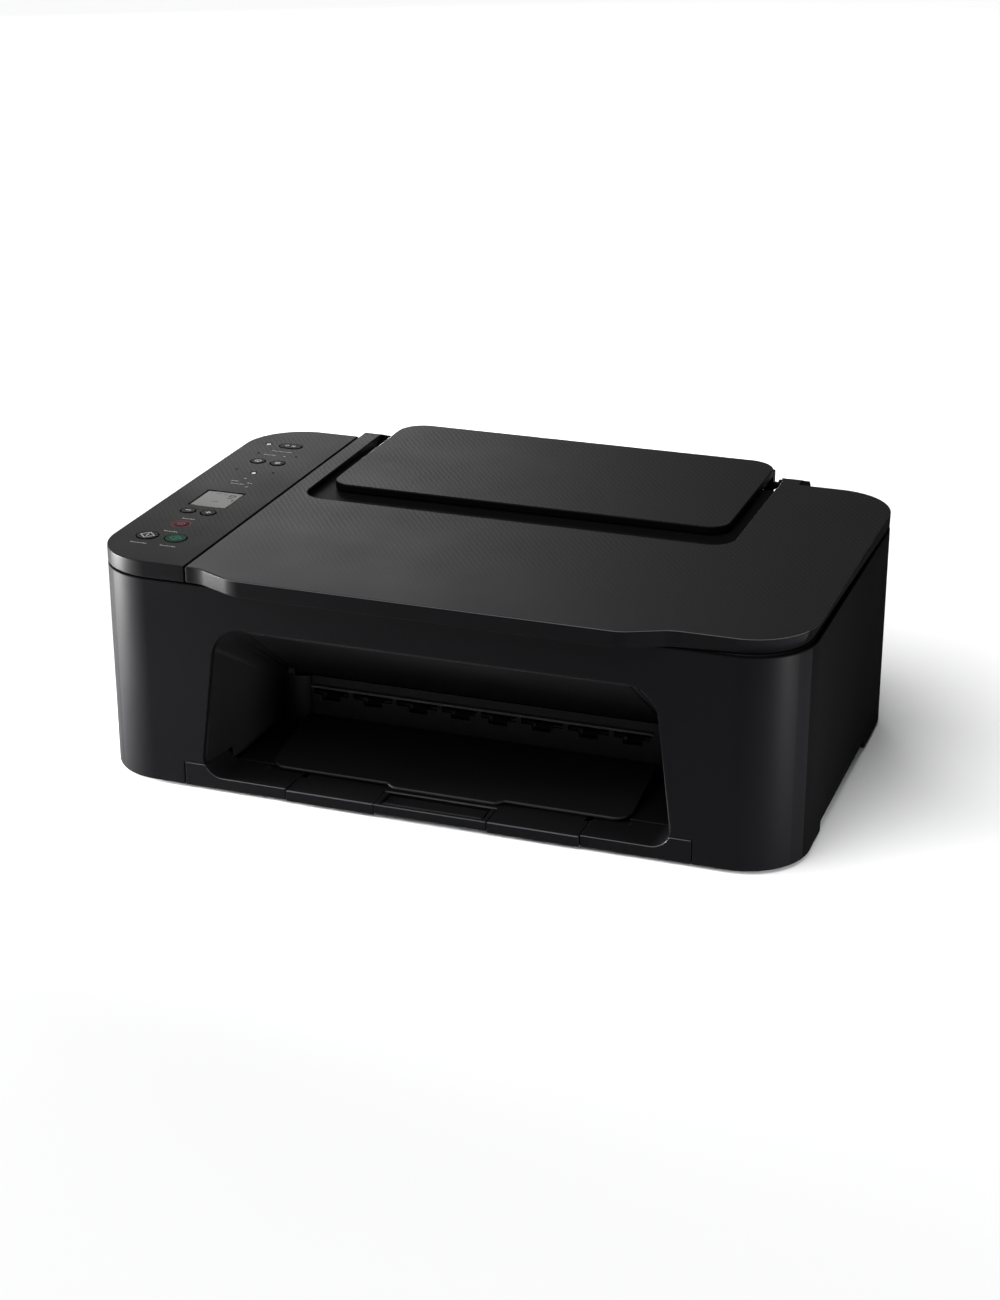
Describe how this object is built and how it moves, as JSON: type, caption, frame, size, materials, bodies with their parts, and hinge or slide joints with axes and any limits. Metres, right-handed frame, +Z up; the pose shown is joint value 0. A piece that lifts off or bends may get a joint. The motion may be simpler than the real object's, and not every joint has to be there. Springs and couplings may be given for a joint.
{
  "type": "inkjet printer",
  "caption": "Flat multifunction inkjet printer with rounded upright corners, a lipped document cover, a folded rear paper support, a key panel and a wide front output bay.",
  "frame": {"origin": "middle of the underside of the feet, under the middle of the overall box", "axes": "+X to the right seen from the front, +Y to the rear, +Z up; the front with the output bay faces -Y"},
  "size_m": [0.435, 0.316, 0.145],
  "materials": {
    "case_plastic": "satin",
    "top_plastic": "fine embossed texture",
    "bay_plastic": "matte",
    "inner_plastic": "matte",
    "steel": "zinc plated",
    "motor_steel": "plain",
    "belt_rubber": "matte",
    "clear_film": "clear",
    "board_green": "solder resist",
    "port_metal": "plated",
    "screw_metal": "zinc plated",
    "foot_rubber": "matte",
    "platen_glass": "polished",
    "display_glass": "gloss",
    "lamp_clear": "clear",
    "key_plastic": "satin",
    "key_red": "satin",
    "key_green": "satin",
    "white_pad": "matte",
    "roller_metal": "ground",
    "roller_rubber": "matte",
    "gear_plastic": "natural",
    "gear_brass": "machined",
    "cartridge_plastic": "matte"
  },
  "bodies": {
    "chassis": {"base_pan": "inner_plastic", "case_shell": "case_plastic", "front_frame": "case_plastic", "bay_liner": "bay_plastic", "tray_floor": "bay_plastic", "exit_guide": "bay_plastic", "rear_tray": "case_plastic", "feed_guide": "inner_plastic", "main_frame": "steel", "platen": "inner_plastic", "pinch_holder": "inner_plastic", "carriage_motor": "motor_steel", "feed_motor": "motor_steel", "timing_belt": "belt_rubber", "encoder_strip": "clear_film", "maintenance_unit": "inner_plastic", "power_supply": "inner_plastic", "power_inlet": "inner_plastic", "logic_board": "board_green", "usb_port": "port_metal", "screws": "screw_metal", "feet": "foot_rubber", "scanner_case": "inner_plastic", "platen_glass": "platen_glass", "panel_cap": "top_plastic", "display": "display_glass", "panel_lamps": "lamp_clear"},
    "cover": {"document_cover": "top_plastic", "pressing_pad": "white_pad"},
    "support": {"paper_support": "top_plastic"},
    "slot_cover": {"slot_cover": "inner_plastic"},
    "guide_left": {"guide_left": "inner_plastic"},
    "guide_right": {"guide_right": "inner_plastic"},
    "access_cover": {"access_cover": "bay_plastic"},
    "output_tray": {"output_tray": "case_plastic"},
    "tray_extension": {"tray_extension": "case_plastic"},
    "paper_stop": {"paper_stop": "case_plastic"},
    "feed_roller": {"feed_roller": "roller_metal"},
    "eject_roller": {"eject_roller": "roller_rubber"},
    "idler_gear": {"idler_gear": "gear_plastic"},
    "motor_pinion": {"motor_pinion": "gear_brass"},
    "pinch_rollers": {"pinch_rollers": "gear_plastic"},
    "spur_wheels": {"spur_wheels": "roller_metal"},
    "pickup_roller": {"pickup_roller": "roller_rubber"},
    "drive_pulley": {"drive_pulley": "gear_brass"},
    "tension_pulley": {"tension_pulley": "gear_plastic"},
    "carriage": {"carriage": "inner_plastic", "cartridge_black": "cartridge_plastic", "cartridge_color": "cartridge_plastic"},
    "lock_left": {"lock_left": "key_plastic"},
    "lock_right": {"lock_right": "key_plastic"},
    "scan_bar": {"scan_bar": "inner_plastic"},
    "key_power": {"key_power": "key_plastic"},
    "key_wireless": {"key_wireless": "key_plastic"},
    "key_info": {"key_info": "key_plastic"},
    "key_minus": {"key_minus": "key_plastic"},
    "key_plus": {"key_plus": "key_plastic"},
    "key_stop": {"key_stop": "key_red"},
    "key_color": {"key_color": "key_green"},
    "key_black": {"key_black": "key_plastic"}
  },
  "joints": [
    {"name": "cover_hinge", "type": "hinge", "parent": "chassis", "child": "cover", "pos_m": [0, 0.15, 0.1305], "axis": [-1, 0, 0], "range_deg": [0, 62]},
    {"name": "support_hinge", "type": "hinge", "parent": "cover", "child": "support", "pos_m": [0, 0.15, 0.1305], "axis": [-1, 0, 0], "range_deg": [0, 108]},
    {"name": "slot_cover_hinge", "type": "hinge", "parent": "chassis", "child": "slot_cover", "pos_m": [0, 0.123, 0.1315], "axis": [1, 0, 0], "range_deg": [0, 71]},
    {"name": "guide_left_slide", "type": "slide", "parent": "chassis", "child": "guide_left", "axis": [1, 0, 0], "range_m": [0, 0.05]},
    {"name": "guide_right_slide", "type": "slide", "parent": "chassis", "child": "guide_right", "axis": [-1, 0, 0], "range_m": [0, 0.05]},
    {"name": "access_hinge", "type": "hinge", "parent": "chassis", "child": "access_cover", "pos_m": [0, -0.06607, 0.0524], "axis": [1, 0, 0], "range_deg": [0, 30]},
    {"name": "output_tray_slide", "type": "slide", "parent": "chassis", "child": "output_tray", "axis": [0, -1, 0], "range_m": [0, 0.075]},
    {"name": "extension_slide", "type": "slide", "parent": "output_tray", "child": "tray_extension", "axis": [0, -1, 0], "range_m": [0, 0.08]},
    {"name": "paper_stop_hinge", "type": "hinge", "parent": "tray_extension", "child": "paper_stop", "pos_m": [0, -0.142, 0.0077], "axis": [1, 0, 0], "range_deg": [0, 95]},
    {"name": "carriage_slide", "type": "slide", "parent": "chassis", "child": "carriage", "axis": [-1, 0, 0], "range_m": [0, 0.28]},
    {"name": "lock_left_hinge", "type": "hinge", "parent": "carriage", "child": "lock_left", "pos_m": [0.14, 0.008, 0.083], "axis": [-1, 0, 0], "range_deg": [0, 25]},
    {"name": "lock_right_hinge", "type": "hinge", "parent": "carriage", "child": "lock_right", "pos_m": [0.14, 0.008, 0.083], "axis": [-1, 0, 0], "range_deg": [0, 25]},
    {"name": "drive_pulley_spin", "type": "hinge", "parent": "chassis", "child": "drive_pulley", "pos_m": [-0.176, 0.02, 0.082], "axis": [0, 1, 0], "range_deg": [0, 2450]},
    {"name": "tension_pulley_spin", "type": "hinge", "parent": "chassis", "child": "tension_pulley", "pos_m": [0.176, 0.02, 0.082], "axis": [0, 1, 0], "range_deg": [0, 2450]},
    {"name": "feed_roller_spin", "type": "hinge", "parent": "chassis", "child": "feed_roller", "pos_m": [0, 0.008, 0.03], "axis": [1, 0, 0], "continuous": true},
    {"name": "eject_roller_spin", "type": "hinge", "parent": "chassis", "child": "eject_roller", "pos_m": [0, -0.053, 0.03], "axis": [1, 0, 0], "continuous": true},
    {"name": "idler_gear_spin", "type": "hinge", "parent": "chassis", "child": "idler_gear", "pos_m": [-0.195, -0.024, 0.03], "axis": [1, 0, 0], "continuous": true},
    {"name": "motor_pinion_spin", "type": "hinge", "parent": "chassis", "child": "motor_pinion", "pos_m": [-0.195, 0.03273, 0.02197], "axis": [1, 0, 0], "continuous": true},
    {"name": "pinch_rollers_spin", "type": "hinge", "parent": "chassis", "child": "pinch_rollers", "pos_m": [0, 0.008, 0.0402], "axis": [1, 0, 0], "continuous": true},
    {"name": "spur_wheels_spin", "type": "hinge", "parent": "chassis", "child": "spur_wheels", "pos_m": [0, -0.053, 0.0402], "axis": [1, 0, 0], "continuous": true},
    {"name": "pickup_roller_spin", "type": "hinge", "parent": "chassis", "child": "pickup_roller", "pos_m": [0, 0.10679, 0.06932], "axis": [1, 0, 0], "continuous": true},
    {"name": "scan_bar_slide", "type": "slide", "parent": "chassis", "child": "scan_bar", "axis": [1, 0, 0], "range_m": [0, 0.272]},
    {"name": "key_power_press", "type": "slide", "parent": "chassis", "child": "key_power", "axis": [0, 0, -1], "range_m": [0, 0.0006], "stiffness_N_per_m": 250},
    {"name": "key_wireless_press", "type": "slide", "parent": "chassis", "child": "key_wireless", "axis": [0, 0, -1], "range_m": [0, 0.0006], "stiffness_N_per_m": 250},
    {"name": "key_info_press", "type": "slide", "parent": "chassis", "child": "key_info", "axis": [0, 0, -1], "range_m": [0, 0.0006], "stiffness_N_per_m": 250},
    {"name": "key_minus_press", "type": "slide", "parent": "chassis", "child": "key_minus", "axis": [0, 0, -1], "range_m": [0, 0.0006], "stiffness_N_per_m": 250},
    {"name": "key_plus_press", "type": "slide", "parent": "chassis", "child": "key_plus", "axis": [0, 0, -1], "range_m": [0, 0.0006], "stiffness_N_per_m": 250},
    {"name": "key_stop_press", "type": "slide", "parent": "chassis", "child": "key_stop", "axis": [0, 0, -1], "range_m": [0, 0.0006], "stiffness_N_per_m": 250},
    {"name": "key_color_press", "type": "slide", "parent": "chassis", "child": "key_color", "axis": [0, 0, -1], "range_m": [0, 0.0006], "stiffness_N_per_m": 250},
    {"name": "key_black_press", "type": "slide", "parent": "chassis", "child": "key_black", "axis": [0, 0, -1], "range_m": [0, 0.0006], "stiffness_N_per_m": 250}
  ],
  "couplings": [
    {"joint": "slot_cover_hinge", "follows": "support_hinge", "ratio": 0.64},
    {"joint": "guide_right_slide", "follows": "guide_left_slide", "ratio": 1},
    {"joint": "drive_pulley_spin", "follows": "carriage_slide", "rad_per_m": 151.51},
    {"joint": "tension_pulley_spin", "follows": "carriage_slide", "rad_per_m": 151.51},
    {"joint": "eject_roller_spin", "follows": "feed_roller_spin", "ratio": 1.1765},
    {"joint": "idler_gear_spin", "follows": "feed_roller_spin", "ratio": -1.6667},
    {"joint": "motor_pinion_spin", "follows": "feed_roller_spin", "ratio": -3.3333},
    {"joint": "pinch_rollers_spin", "follows": "feed_roller_spin", "ratio": -1.5},
    {"joint": "spur_wheels_spin", "follows": "feed_roller_spin", "ratio": -1.5294}
  ]
}
